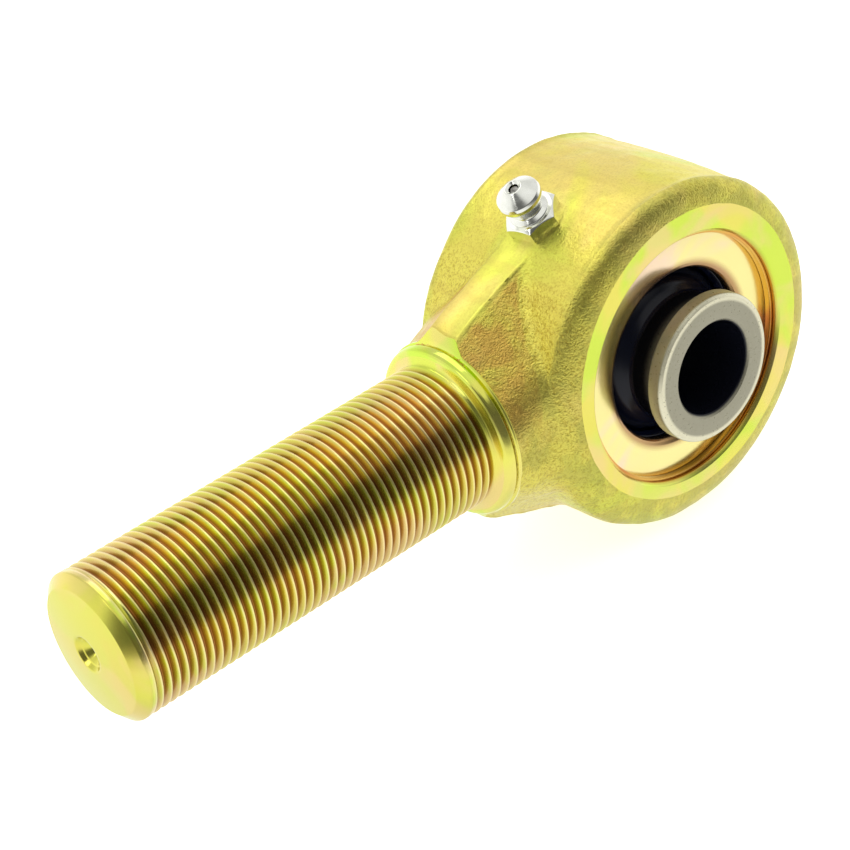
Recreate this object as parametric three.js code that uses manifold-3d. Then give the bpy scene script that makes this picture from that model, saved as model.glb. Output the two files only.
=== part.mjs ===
// Rod end bearing with a rebuildable ball joint.
// Origin at the ball's centre. +X runs along the shank from its tip to the eye,
// Y is the bore's axis, +Z is up. Units are millimetres.
import * as THREE from 'three';
import * as BufferGeometryUtils from 'three/addons/utils/BufferGeometryUtils.js';
import Module from 'manifold-3d';

// Shank
const THREAD_MAJOR_D = 22.225;      // seven-eighths inch
const THREAD_PITCH = 25.4 / 18;     // 18 threads to the inch
const THREAD_DEPTH = 0.82;          // crest to root on the external thread
const SHANK_TIP_X = -97.7;
const TIP_FACE_R = 9.5;
const TIP_DOME = 0.6;
const TIP_CHAMFER_L = 1.3;
const THREAD_END_X = -36.6;
const CENTRE_HOLE_R = 1.15;
const CENTRE_SINK_R = 2.55;
const CENTRE_SINK_L = 2.0;
const CENTRE_HOLE_L = 4.6;

// Collar turned between the thread and the forged neck
const COLLAR_SHOULDER_X = -34.3;
const COLLAR_GROOVE_X = -33.3;
const COLLAR_END_X = -32.6;
const COLLAR_R = 13.43;

// Forged eye
const EYE_HALF_W = 15.6;            // machined faces
const EYE_R_MID = 27.3;             // at the parting plane
const EYE_R_EDGE = 26.8;            // where the rim starts to round
const EYE_EDGE_Y = 13.3;
const EYE_RING_R = 22.6;            // outer edge of the machined face
const BAND_HALF_W = 2.8;            // parting band along the neck
const BAND_H = 0.38;
const FLANK = 0.87;                 // slope of the neck's flanks either side of the band

// Eye bore
const BORE_R = 19.25;
const MOUTH_CHAMFER = 0.4;
const GAP = 0.3;                    // clearance kept between neighbours
const WASHER_FACE_Y = 13.1;
const WASHER_T = 1.6;
const WASHER_HOLE_R = 13.9;
const RING_T = 1.1;
const RING_IN_R = 18.5;
const RING_OUT_R = 20.1;
const GREASE_GROOVE_R = 20.0;
const GREASE_GROOVE_HALF_W = 1.5;

// Ball
const BALL_R = 16.0;
const BALL_HALF_W = 20.32;          // 1.600 inch over the end faces
const BALL_BORE_R = 7.144;          // nine-sixteenths inch
const NECK_R = 9.6;
const DISC_R = 11.33;
const DISC_BACK_Y = 17.7;
const BALL_CHAMFER = 0.45;

// Grease fitting, on the eye's outside, in the plane of the shank
const FIT_ANGLE = 116.8;              // degrees from +X towards +Z
const FIT_SEAT_R = 27.0;            // spot face
const HEX_AF = 7.2;
const HEX_TURN = 38.65;             // degrees about the fitting's axis
const HEX_H = 2.05;
const FIT_HEAD_R = 3.35;
const FIT_THREAD_R = 3.0;
const FIT_THREAD_L = 4.6;
const FIT_TOP = 34.8;               // distance of the tip from the ball's centre
const FIT_BORE_R = 1.45;
const CHECK_BALL_R = 1.1;
const CHECK_BALL_DEPTH = 1.4;       // from the tip to the ball's centre when shut
const SPRING_WIRE_R = 0.16;
const SPRING_R = 0.85;
const SPRING_TURNS = 5;

const wasm = await Module();
wasm.setup();

// ---------- helpers ----------
function weld(geometry) {
  const g = geometry.index ? geometry.clone() : geometry.clone();
  g.deleteAttribute('normal');
  g.deleteAttribute('uv');
  return BufferGeometryUtils.mergeVertices(g, 1e-5);
}
function solid(geometry) {
  const g = weld(geometry);
  const p = g.attributes.position.array;
  const idx = [];
  const src = g.index.array;
  for (let i = 0; i < src.length; i += 3) {
    if (src[i] !== src[i + 1] && src[i + 1] !== src[i + 2] && src[i] !== src[i + 2]) idx.push(src[i], src[i + 1], src[i + 2]);
  }
  const m = new wasm.Manifold(new wasm.Mesh({ numProp: 3, vertProperties: new Float32Array(p), triVerts: new Uint32Array(idx) }));
  return m;
}
function toGeometry(manifold) {
  const mesh = manifold.getMesh();
  const n = mesh.numProp;
  const count = mesh.vertProperties.length / n;
  const pos = new Float32Array(count * 3);
  for (let i = 0; i < count; i++) for (let k = 0; k < 3; k++) pos[i * 3 + k] = mesh.vertProperties[i * n + k];
  const g = new THREE.BufferGeometry();
  g.setAttribute('position', new THREE.BufferAttribute(pos, 3));
  g.setIndex(new THREE.BufferAttribute(new Uint32Array(mesh.triVerts), 1));
  return g;
}
// profile: [radius, height along the axis] pairs, going up, about +Y in three's lathe
function lathe(profile, segments) {
  const pts = profile.map(([r, h]) => new THREE.Vector2(r, h));
  return new THREE.LatheGeometry(pts, segments);
}
const alongY = new THREE.Matrix4();                                  // lathe axis is already Y
const alongX = new THREE.Matrix4().makeRotationZ(-Math.PI / 2);      // +Y of the lathe to +X
function fitMatrix() {
  const a = (FIT_ANGLE * Math.PI) / 180;
  const u = new THREE.Vector3(Math.cos(a), 0, Math.sin(a));
  const v = new THREE.Vector3(0, 1, 0);
  const w = new THREE.Vector3().crossVectors(v, u).normalize();
  // lathe X -> v (row Y), lathe Y -> u (axis), lathe Z -> v x u with the right hand
  const z = new THREE.Vector3().crossVectors(v, u).normalize();
  return new THREE.Matrix4().makeBasis(v, u, z.length() ? z : w);
}
const FIT = fitMatrix();
function placed(geometry, matrix) { const g = geometry.clone(); g.applyMatrix4(matrix); return g; }
function cylinder(r, h0, h1, segments, matrix) { return solid(placed(lathe([[0, h0], [r, h0], [r, h1], [0, h1]], segments), matrix)); }

// ---------- housing ----------
function eyeSolid() {
  const p = [[0, -EYE_HALF_W], [EYE_RING_R, -EYE_HALF_W]];
  const rim = [];
  const A = [EYE_RING_R, EYE_HALF_W], B = [EYE_R_EDGE, EYE_EDGE_Y], b = 0.62;
  const C = [EYE_R_EDGE * b + ((A[0] + B[0]) / 2) * (1 - b), EYE_HALF_W * b + ((A[1] + B[1]) / 2) * (1 - b)];
  for (let i = 1; i <= 3; i++) {
    const t = i / 3;
    rim.push([(1 - t) ** 2 * A[0] + 2 * t * (1 - t) * C[0] + t * t * B[0], (1 - t) ** 2 * A[1] + 2 * t * (1 - t) * C[1] + t * t * B[1]]);
  }
  for (const [r, y] of rim) p.push([r, -y]);
  p.push([EYE_R_MID, 0]);
  for (const [r, y] of rim.slice().reverse()) p.push([r, y]);
  p.push([EYE_RING_R, EYE_HALF_W], [0, EYE_HALF_W]);
  return solid(placed(lathe(p, 56), alongY));
}
function shankSolid() {
  const R = THREAD_MAJOR_D / 2 - 0.05;
  const p = [[0, SHANK_TIP_X - TIP_DOME], [TIP_FACE_R * 0.55, SHANK_TIP_X - TIP_DOME * 0.7], [TIP_FACE_R, SHANK_TIP_X], [R, SHANK_TIP_X + TIP_CHAMFER_L], [R, -36.1],
    [R + 0.25, -35.6], [R + 1.15, -35.1], [COLLAR_R - 0.35, COLLAR_SHOULDER_X - 0.4], [COLLAR_R, COLLAR_SHOULDER_X + 0.2],
    [COLLAR_R, COLLAR_GROOVE_X - 0.15], [COLLAR_R - 0.3, COLLAR_GROOVE_X], [COLLAR_R + 0.02, COLLAR_GROOVE_X + 0.15], [COLLAR_R + 0.15, COLLAR_END_X], [0, COLLAR_END_X]];
  return solid(placed(lathe(p, 40), alongX));
}
// Sections of the forged neck: x, height of the band, half width of the flat side
const NECK = [
  [-32.6, 14.9, 13.4],
  [-30.0, 16.4, 13.6],
  [-27.0, 17.7, 13.75],
  [-23.0, 19.3, 13.95],
  [-19.0, 20.7, 14.2],
  [-15.0, 21.9, 14.4],
  [-11.0, 22.9, 14.4],
];
// One section, starting at the +Y side: flat side, rounded corner, straight flank, band
function neckSection([x, hb, w]) {
  const hf = hb - BAND_H;
  const flank = (y) => hf - (y - BAND_HALF_W) * FLANK;
  const zc = flank(w);
  const q = [[w, 0], [w - 0.05, zc - 2.4], [w - 0.45, zc - 0.7], [w - 1.3, flank(w - 1.3) - 0.75], [w - 3.0, flank(w - 3.0) - 0.2],
    [BAND_HALF_W + 1.3, flank(BAND_HALF_W + 1.3)], [BAND_HALF_W + 0.15, hf - 0.05], [BAND_HALF_W, hb]];
  return ring(x, q);
}
// The tool's cone at the neck's front end, as a section with as many points
function coneSection(x, r) {
  const q = [];
  for (let i = 0; i < 8; i++) {
    const a = (Math.PI / 2) * (i / 8.6);
    q.push([r * Math.cos(a), r * Math.sin(a)]);
  }
  return ring(x, q);
}
// A quarter of a section repeated round the shank's axis
function ring(x, q) {
  const out = [];
  for (const [y, z] of q) out.push([x, y, z]);
  for (const [y, z] of q.slice().reverse()) out.push([x, -y, z]);
  for (const [y, z] of q.slice(1)) out.push([x, -y, -z]);
  for (const [y, z] of q.slice(1).reverse()) out.push([x, y, -z]);
  return out;
}
function loft(rows) {
  const n = rows[0].length, m = rows.length;
  const pos = rows.flat(2), idx = [];
  for (let j = 0; j < m - 1; j++) {
    for (let i = 0; i < n; i++) {
      const k = (i + 1) % n;
      const a = j * n + i, b = j * n + k, c = (j + 1) * n + k, d = (j + 1) * n + i;
      idx.push(a, b, d, b, c, d);
    }
  }
  const c0 = pos.length / 3; pos.push(rows[0][0][0], 0, 0);
  const c1 = pos.length / 3; pos.push(rows[m - 1][0][0], 0, 0);
  for (let i = 0; i < n; i++) {
    const k = (i + 1) % n;
    idx.push(c0, k, i);
    idx.push(c1, (m - 1) * n + i, (m - 1) * n + k);
  }
  const g = new THREE.BufferGeometry();
  g.setAttribute('position', new THREE.BufferAttribute(new Float32Array(pos), 3));
  g.setIndex(idx);
  return solid(g);
}
function housingGeometry() {
  let h = eyeSolid().add(loft([coneSection(-33.1, COLLAR_R - 0.06), ...NECK.map(neckSection)])).add(shankSolid());
  // eye bore with its mouths, ring grooves and grease groove
  const c = MOUTH_CHAMFER, W = EYE_HALF_W + 1;
  const g0 = WASHER_FACE_Y, g1 = WASHER_FACE_Y + GAP * 2 + RING_T;
  const cut = [[0, -W], [BORE_R + c + 1, -W], [BORE_R, -EYE_HALF_W + c], [BORE_R, -g1], [RING_OUT_R + GAP, -g1], [RING_OUT_R + GAP, -g0], [BORE_R, -g0],
    [BORE_R, -GREASE_GROOVE_HALF_W], [GREASE_GROOVE_R, -GREASE_GROOVE_HALF_W + 0.5], [GREASE_GROOVE_R, GREASE_GROOVE_HALF_W - 0.5], [BORE_R, GREASE_GROOVE_HALF_W],
    [BORE_R, g0], [RING_OUT_R + GAP, g0], [RING_OUT_R + GAP, g1], [BORE_R, g1], [BORE_R, EYE_HALF_W - c], [BORE_R + c + 1, W], [0, W]];
  h = h.subtract(solid(placed(lathe(cut, 56), alongY)));
  // spot face, tapped hole and passage for the grease fitting
  h = h.subtract(solid(placed(lathe([[0, FIT_SEAT_R], [HEX_AF * 0.64, FIT_SEAT_R], [HEX_AF * 0.64, FIT_SEAT_R + 4], [0, FIT_SEAT_R + 4]], 24), FIT)));
  h = h.subtract(cylinder(FIT_THREAD_R + GAP, FIT_SEAT_R - FIT_THREAD_L - GAP, FIT_SEAT_R + 1, 24, FIT));
  h = h.subtract(cylinder(1.3, GREASE_GROOVE_R - 0.6, FIT_SEAT_R - FIT_THREAD_L, 16, FIT));
  // centre hole in the shank's tip
  const x0 = SHANK_TIP_X - TIP_DOME;
  h = h.subtract(solid(placed(lathe([[0, x0 - 1], [CENTRE_SINK_R + 0.577, x0 - 1], [CENTRE_HOLE_R, x0 + CENTRE_SINK_L], [CENTRE_HOLE_R, x0 + CENTRE_HOLE_L], [0, x0 + CENTRE_HOLE_L + 0.6]], 24), alongX)));
  return toGeometry(h);
}

// ---------- ball ----------
function ballGeometry() {
  const c = BALL_CHAMFER;
  const yN = Math.sqrt(BALL_R ** 2 - (NECK_R + 0.9) ** 2);     // where the fillet leaves the sphere
  const side = [];                                             // outer profile from the middle to the +Y end
  const N = 7;
  const t0 = Math.asin(yN / BALL_R);
  for (let i = 0; i <= N; i++) { const t = (t0 * i) / N; side.push([BALL_R * Math.cos(t), BALL_R * Math.sin(t)]); }
  side.push([NECK_R + 0.35, yN + 0.75], [NECK_R, yN + 1.6], [NECK_R, DISC_BACK_Y - 0.6], [NECK_R + 0.5, DISC_BACK_Y], [DISC_R - 0.3, DISC_BACK_Y], [DISC_R, DISC_BACK_Y + 0.3], [DISC_R, BALL_HALF_W - c], [DISC_R - c, BALL_HALF_W],
    [BALL_BORE_R + c, BALL_HALF_W], [BALL_BORE_R, BALL_HALF_W - c]);
  const p = [];
  for (const [r, y] of side.slice().reverse()) p.push([r, -y]);
  for (const [r, y] of side.slice(1)) p.push([r, y]);
  p.push([BALL_BORE_R, -BALL_HALF_W + c]);
  return toGeometry(solid(placed(lathe(p, 44), alongY)));
}

// ---------- bushings, washers, rings (side = +1 rear, -1 front) ----------
const BUSH_OUT_R = BORE_R - GAP;
const BUSH_SPHERE_R = BALL_R + GAP;
const BUSH_END_Y = WASHER_FACE_Y - WASHER_T - GAP;
const LIP_ANGLE = 52;               // degrees from the bore axis to the end of the race
function mirrored(profile, side) {
  // keeps the profile's winding so that the solid faces out on both sides
  return side > 0 ? profile : profile.map(([r, y]) => [r, -y]).reverse();
}
function bushingGeometry(side) {
  const y0 = GAP / 2, y1 = BUSH_END_Y;
  const p = [[BUSH_OUT_R - 0.5, y0], [BUSH_OUT_R, y0 + 0.5], [BUSH_OUT_R, y1 - 0.4], [BUSH_OUT_R - 0.4, y1]];
  const lip = (LIP_ANGLE * Math.PI) / 180;
  const rl = BUSH_SPHERE_R * Math.sin(lip);
  p.push([rl + 0.45, y1]);
  const N = 6;
  const ta = Math.PI / 2 - lip, tb = Math.asin(y0 / BUSH_SPHERE_R);
  for (let i = 0; i <= N; i++) { const t = ta + ((tb - ta) * i) / N; p.push([BUSH_SPHERE_R * Math.cos(t), BUSH_SPHERE_R * Math.sin(t)]); }
  p.push(p[0].slice());
  let b = solid(placed(lathe(mirrored(p, side), 44), alongY));
  // four grease notches in the lip
  for (let i = 0; i < 4; i++) {
    const notch = new THREE.BoxGeometry(4, 4, 1.8);
    notch.translate(rl - 0.9, side * y1, 0);
    notch.rotateY(-((92 + 90 * i) * Math.PI) / 180);
    b = b.subtract(solid(notch));
  }
  return toGeometry(b);
}
function washerGeometry(side) {
  const y0 = WASHER_FACE_Y - WASHER_T, y1 = WASHER_FACE_Y, ri = WASHER_HOLE_R, ro = BORE_R - GAP;
  const p = [[ri - 0.7, y0], [ro, y0], [ro, y1 - 0.2], [ro - 0.2, y1], [ri + 0.1, y1], [ri - 0.35, y1 - 0.22], [ri - 0.7, y1 - 0.9], [ri - 0.7, y0]];
  return toGeometry(solid(placed(lathe(mirrored(p, side), 44), alongY)));
}
function ringGeometry(side) {
  const y0 = WASHER_FACE_Y + GAP, y1 = y0 + RING_T;
  const p = [[RING_IN_R, y0], [RING_OUT_R, y0], [RING_OUT_R, y1], [RING_IN_R, y1], [RING_IN_R, y0]];
  let r = solid(placed(lathe(mirrored(p, side), 56), alongY));
  // the gap between the ring's ends, above and towards the shank
  const box = new THREE.BoxGeometry(3.2, 60, 6);
  box.translate(0, 0, (RING_IN_R + RING_OUT_R) / 2);
  box.rotateY((-50 * Math.PI) / 180);
  r = r.subtract(solid(box));
  return toGeometry(r);
}

// ---------- grease fitting ----------
const FIT_BALL_AT = FIT_TOP - CHECK_BALL_DEPTH;      // centre of the closed check ball
const FIT_FLOOR = FIT_SEAT_R - FIT_THREAD_L + 0.8;      // the crimped lip that holds the spring
function fittingGeometry() {
  const s = FIT_SEAT_R + 0.05 + GAP;
  const hexTop = s + HEX_H;
  const hexR = HEX_AF / 2 / Math.cos(Math.PI / 6);
  const body = solid(placed(lathe([[0, FIT_SEAT_R - FIT_THREAD_L], [FIT_THREAD_R - 0.4, FIT_SEAT_R - FIT_THREAD_L], [FIT_THREAD_R, FIT_SEAT_R - FIT_THREAD_L + 0.5], [FIT_THREAD_R, s + 0.4],
    [FIT_THREAD_R + 0.15, hexTop - 0.2], [3.15, hexTop], [2.35, hexTop + 1.0], [2.4, hexTop + 1.15], [FIT_HEAD_R - 0.3, FIT_TOP - 2.75], [FIT_HEAD_R, FIT_TOP - 2.2], [FIT_HEAD_R, FIT_TOP - 1.75], [FIT_HEAD_R - 0.25, FIT_TOP - 1.3], [1.45, FIT_TOP - 0.14], [1.2, FIT_TOP], [0, FIT_TOP]], 20), FIT));
  let hex = solid(placed(lathe([[0, s], [hexR, s], [hexR, hexTop], [0, hexTop]], 6).rotateY((HEX_TURN * Math.PI) / 180), FIT));
  const crown = solid(placed(lathe([[0, s - 0.2], [hexR - 0.1, s - 0.2], [hexR + 0.05, s + 0.2], [hexR + 0.05, hexTop - 0.55], [HEX_AF / 2 - 0.1, hexTop], [HEX_AF / 2 - 0.1, hexTop + 1], [0, hexTop + 1]], 24), FIT));
  hex = hex.intersect(crown);
  let f = body.add(hex);
  const tip = 0.78;
  const bore = solid(placed(lathe([[0, FIT_SEAT_R - FIT_THREAD_L - 1], [0.75, FIT_SEAT_R - FIT_THREAD_L - 1], [0.75, FIT_FLOOR], [FIT_BORE_R, FIT_FLOOR], [FIT_BORE_R, FIT_BALL_AT + 0.35], [1.12, FIT_BALL_AT + CHECK_BALL_R - 0.05], [tip, FIT_BALL_AT + CHECK_BALL_R + 0.12], [tip, FIT_TOP + 1], [0, FIT_TOP + 1]], 14), FIT));
  f = f.subtract(bore);
  return toGeometry(f);
}
function checkBallGeometry() {
  const p = [[0, -CHECK_BALL_R]];
  for (let i = 1; i < 6; i++) { const t = -Math.PI / 2 + (Math.PI * i) / 6; p.push([CHECK_BALL_R * Math.cos(t), CHECK_BALL_R * Math.sin(t)]); }
  p.push([0, CHECK_BALL_R]);
  const g = lathe(p.map(([r, y]) => [r, y + FIT_BALL_AT]), 12);
  return toGeometry(solid(placed(g, FIT)));
}
function springGeometry() {
  const z0 = FIT_FLOOR + GAP + SPRING_WIRE_R, z1 = FIT_BALL_AT - CHECK_BALL_R * 0.72 - GAP - SPRING_WIRE_R;
  class Helix extends THREE.Curve {
    getPoint(t, target = new THREE.Vector3()) {
      const a = t * SPRING_TURNS * 2 * Math.PI;
      return target.set(SPRING_R * Math.cos(a), z0 + (z1 - z0) * t, SPRING_R * Math.sin(a));
    }
  }
  const wire = new THREE.Shape(Array.from({ length: 5 }, (_, i) => new THREE.Vector2(SPRING_WIRE_R * Math.cos((i * 2 * Math.PI) / 5), SPRING_WIRE_R * Math.sin((i * 2 * Math.PI) / 5))));
  const g = new THREE.ExtrudeGeometry(wire, { steps: SPRING_TURNS * 10, bevelEnabled: false, extrudePath: new Helix(), curveSegments: 1 });
  g.applyMatrix4(FIT);
  return toGeometry(solid(g));
}

// ---------- assembly ----------
const material = (color, roughness, metalness) => new THREE.MeshStandardMaterial({ color, roughness, metalness });
const ZINC = [0xcfc04a, 0.38, 0.9];
const STEEL = [0x9c9a90, 0.42, 0.9];
const BLACK = [0x14161c, 0.45, 0.0];
const COPPERY = [0xdcc878, 0.32, 0.9];
const BRIGHT = [0xd8d8d4, 0.22, 1.0];
const SPRING_STEEL = [0x8a8a88, 0.4, 0.9];
const root = new THREE.Group();
root.name = 'rod_end_bearing';
function part(name, geometry, m) {
  const flat = geometry.toNonIndexed ? geometry : geometry;
  flat.computeVertexNormals();
  const mesh = new THREE.Mesh(flat, material(...m));
  mesh.name = name;
  root.add(mesh);
}
part('housing', housingGeometry(), ZINC);
part('ball', ballGeometry(), STEEL);
part('front_bushing', bushingGeometry(-1), BLACK);
part('rear_bushing', bushingGeometry(1), BLACK);
part('front_washer', washerGeometry(-1), COPPERY);
part('rear_washer', washerGeometry(1), COPPERY);
part('front_retaining_ring', ringGeometry(-1), ZINC);
part('rear_retaining_ring', ringGeometry(1), ZINC);
part('grease_fitting', fittingGeometry(), BRIGHT);
part('grease_check_ball', checkBallGeometry(), SPRING_STEEL);
part('grease_spring', springGeometry(), SPRING_STEEL);
export default root;
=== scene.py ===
import math

import bmesh
import bpy
import numpy as np
from mathutils import Matrix, Vector


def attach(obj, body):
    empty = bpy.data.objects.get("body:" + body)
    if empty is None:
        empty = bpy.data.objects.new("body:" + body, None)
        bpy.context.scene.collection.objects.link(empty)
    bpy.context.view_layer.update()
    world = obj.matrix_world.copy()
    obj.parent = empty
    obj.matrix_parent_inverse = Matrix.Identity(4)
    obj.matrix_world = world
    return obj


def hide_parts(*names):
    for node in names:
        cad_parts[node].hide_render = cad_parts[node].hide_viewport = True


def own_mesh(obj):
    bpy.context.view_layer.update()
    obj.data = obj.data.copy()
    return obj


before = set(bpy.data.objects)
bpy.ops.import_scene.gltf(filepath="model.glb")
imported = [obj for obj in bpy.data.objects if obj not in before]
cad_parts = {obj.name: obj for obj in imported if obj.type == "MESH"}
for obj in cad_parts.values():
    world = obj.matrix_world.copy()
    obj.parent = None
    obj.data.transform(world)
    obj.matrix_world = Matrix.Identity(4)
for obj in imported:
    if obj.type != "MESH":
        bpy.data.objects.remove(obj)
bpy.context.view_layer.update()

MM = 0.001

# ------------------------------------------------------------------ sizes, in millimetres
MAJOR_R = 22.225 / 2
PITCH = 25.4 / 18
THREAD_DEPTH = 0.84
TIP_X = -97.7
TIP_FACE_R = 9.5
TIP_DOME = 0.6
CHAMFER_L = 1.25
EYE_W = 15.6
EYE_R = 27.3
EYE_R_EDGE = 26.8
EYE_EDGE_Y = 13.3
RING_EDGE_R = 22.6
BORE_R = 19.25
WASHER_Y = 13.4
RACE_END_Y = 11.2
WASHER_T = 1.6
WASHER_HOLE_R = 13.9
SNAP_T = 1.1
SNAP_IN_R = 18.8
SNAP_OUT_R = 20.1
GAP = 0.3
BALL_R = 16.0
BALL_W = 20.32
BALL_BORE_R = 7.144
NECK_R = 9.6
DISC_R = 11.33
DISC_BACK_Y = 17.7
FIT_ANGLE = math.radians(116.8)
FIT_SEAT_R = 27.0
HEX_AF = 7.42
HEX_TURN = math.radians(38.65)
HEX_H = 2.05
CHECK_AT = 33.4
FIT_TOP = 34.8


# ------------------------------------------------------------------ mesh helpers
def new_object(name, verts, faces, sharp=32.0, smooth=True):
    mesh = bpy.data.meshes.new(name)
    mesh.from_pydata([tuple(v) for v in verts], [], faces)
    mesh.validate(clean_customdata=False)
    mesh.update()
    if smooth:
        mesh.polygons.foreach_set("use_smooth", [True] * len(mesh.polygons))
        mesh.set_sharp_from_angle(angle=math.radians(sharp))
    obj = bpy.data.objects.new(name, mesh)
    bpy.context.scene.collection.objects.link(obj)
    return obj


def grid_faces(rows, cols, wrap=True):
    faces = []
    last = cols if wrap else cols - 1
    for j in range(rows - 1):
        for i in range(last):
            k = (i + 1) % cols
            faces.append((j * cols + i, j * cols + k, (j + 1) * cols + k, (j + 1) * cols + i))
    return faces


def outward(obj):
    bm = bmesh.new()
    bm.from_mesh(obj.data)
    bmesh.ops.recalc_face_normals(bm, faces=bm.faces)
    bm.to_mesh(obj.data)
    bm.free()
    obj.data.update()


def rounded(profile, radius, steps=3):
    """Corners of an open profile turned into small arcs. radius is one number, or one per corner (0 keeps it sharp)."""
    out = [profile[0]]
    n = len(profile)
    for i in range(1, n - 1):
        r = radius[i] if isinstance(radius, (list, tuple)) else radius
        a, b, c = (np.array(profile[i - 1], float), np.array(profile[i], float), np.array(profile[i + 1], float))
        la, lc = np.linalg.norm(a - b), np.linalg.norm(c - b)
        if r <= 0 or la < 1e-6 or lc < 1e-6:
            out.append(tuple(b))
            continue
        u, w = (a - b) / la, (c - b) / lc
        cosang = float(np.clip(u @ w, -1, 1))
        half = math.acos(cosang) / 2
        if half > math.radians(87):
            out.append(tuple(b))
            continue
        d = min(r / math.tan(half), la * 0.45, lc * 0.45)
        p, q = b + u * d, b + w * d
        for s in range(steps + 1):
            t = s / steps
            out.append(tuple((1 - t) ** 2 * p + 2 * t * (1 - t) * b + t * t * q))
    out.append(profile[-1])
    return out


def lathe_verts(profile, segments, axis="Y"):
    verts = []
    for r, h in profile:
        for i in range(segments):
            a = 2 * math.pi * i / segments
            c, s = math.cos(a) * r, math.sin(a) * r
            if axis == "Y":
                verts.append((c * MM, h * MM, s * MM))
            elif axis == "X":
                verts.append((h * MM, c * MM, s * MM))
            else:
                verts.append((c * MM, s * MM, h * MM))
    return verts


def lathe(name, profile, segments=192, axis="Y", closed=True, sharp=32.0):
    """Solid of revolution. closed joins the last ring to the first, for a profile that closes on itself."""
    prof = list(profile)
    verts = lathe_verts(prof, segments, axis)
    rows = len(prof)
    faces = grid_faces(rows, segments)
    if closed:
        for i in range(segments):
            k = (i + 1) % segments
            faces.append(((rows - 1) * segments + i, (rows - 1) * segments + k, k, i))
    obj = new_object(name, verts, faces, sharp)
    bm = bmesh.new()
    bm.from_mesh(obj.data)
    bmesh.ops.remove_doubles(bm, verts=bm.verts, dist=1e-8)
    bmesh.ops.recalc_face_normals(bm, faces=bm.faces)
    bm.to_mesh(obj.data)
    bm.free()
    obj.data.polygons.foreach_set("use_smooth", [True] * len(obj.data.polygons))
    obj.data.set_sharp_from_angle(angle=math.radians(sharp))
    return obj


def flip(obj):
    obj.data.flip_normals()


# ------------------------------------------------------------------ smooth value noise, seeded
class Noise:
    def __init__(self, seed):
        rng = np.random.default_rng(seed)
        self.t = rng.random((32, 32, 32)) * 2 - 1

    def __call__(self, p, scale):
        q = np.asarray(p) * scale
        i = np.floor(q).astype(int)
        f = q - i
        f = f * f * (3 - 2 * f)
        i &= 31
        j = (i + 1) & 31
        t = self.t
        x0, y0, z0 = i[..., 0], i[..., 1], i[..., 2]
        x1, y1, z1 = j[..., 0], j[..., 1], j[..., 2]
        fx, fy, fz = f[..., 0], f[..., 1], f[..., 2]
        c00 = t[x0, y0, z0] * (1 - fx) + t[x1, y0, z0] * fx
        c10 = t[x0, y1, z0] * (1 - fx) + t[x1, y1, z0] * fx
        c01 = t[x0, y0, z1] * (1 - fx) + t[x1, y0, z1] * fx
        c11 = t[x0, y1, z1] * (1 - fx) + t[x1, y1, z1] * fx
        return (c00 * (1 - fy) + c10 * fy) * (1 - fz) + (c01 * (1 - fy) + c11 * fy) * fz


NOISE = Noise(7)
NOISE2 = Noise(19)


def smooth01(x, a, b):
    t = np.clip((x - a) / (b - a), 0, 1)
    return t * t * (3 - 2 * t)


# ------------------------------------------------------------------ the forged eye and neck
# Along the neck: x, height of the parting-line band, half width of the flat side
NECK = np.array([
    [-34.0, 14.2, 13.2],
    [-32.7, 14.9, 13.4],
    [-30.0, 16.4, 13.6],
    [-27.0, 17.7, 13.75],
    [-23.0, 19.3, 13.95],
    [-19.0, 20.7, 14.2],
    [-15.0, 21.9, 14.4],
    [-11.0, 22.9, 14.4],
    [40.0, 22.9, 14.4],
])
BAND_HALF = 2.8
BAND_STEP = 0.24
FLANK = 0.87            # slope of the flanks either side of the band
CONE_X = -33.15         # where the tool's cone starts outside the groove
CONE_R = 13.45
CONE_SLOPE = 1.8


def rim_table(bulge=0.6, n=60):
    """Radius against |y| from the machined face's outer edge round to the barrel."""
    A, B = np.array([RING_EDGE_R, EYE_W]), np.array([EYE_R_EDGE, EYE_EDGE_Y])
    C = np.array([B[0], A[1]]) * bulge + (A + B) / 2 * (1 - bulge)
    t = np.linspace(0, 1, n)[:, None]
    P = (1 - t) ** 2 * A + 2 * t * (1 - t) * C + t * t * B
    ext = A + (A - C) * 1.5            # the uncut forging carries on past the machined plane
    P = np.vstack([ext, P])
    return P[::-1, 1], P[::-1, 0]


RIM_Y, RIM_R = rim_table()


def barrel_radius(y):
    """Outline of the forged eye before the faces are machined."""
    ay = np.abs(y)
    body = EYE_R - (EYE_R - EYE_R_EDGE) * np.clip(ay / EYE_EDGE_Y, 0, 1) ** 1.6
    rim = np.interp(ay, RIM_Y, RIM_R)
    return np.where(ay <= EYE_EDGE_Y, body, rim)


def smax(a, b, k):
    h = np.clip(0.5 - 0.5 * (a - b) / k, 0, 1)
    return a * (1 - h) + b * h + k * h * (1 - h)


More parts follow.
